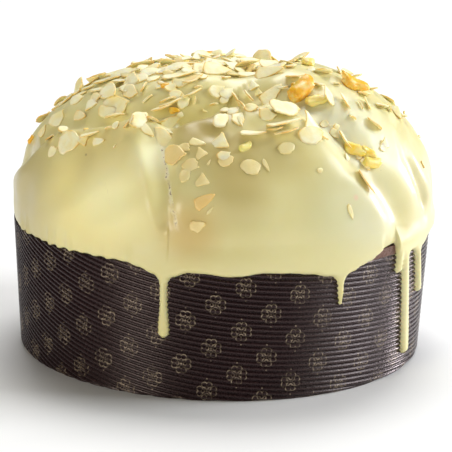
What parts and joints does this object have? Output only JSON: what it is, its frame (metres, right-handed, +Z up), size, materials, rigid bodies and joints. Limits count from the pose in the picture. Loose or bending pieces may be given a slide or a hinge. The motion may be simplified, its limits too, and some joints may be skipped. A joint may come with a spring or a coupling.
{
  "type": "glazed panettone in a paper baking case",
  "caption": "Low domed festive loaf in a ridged dark paper case, covered with pale poured glaze that drips down the case, and scattered with sliced almonds.",
  "frame": {"origin": "centre of the paper case's underside, on the surface it stands on", "axes": "+Z up along the case's axis, -Y towards the front shown in the picture, +X to its right"},
  "size_m": [0.2139, 0.2167, 0.1487],
  "materials": {
    "case_paper": "matt",
    "base_paper": "matt",
    "cake": "matt",
    "glaze": "satin"
  },
  "bodies": {
    "root": {"case_wall": "case_paper", "case_base": "base_paper", "cake": "cake", "glaze": "glaze"}
  },
  "joints": []
}
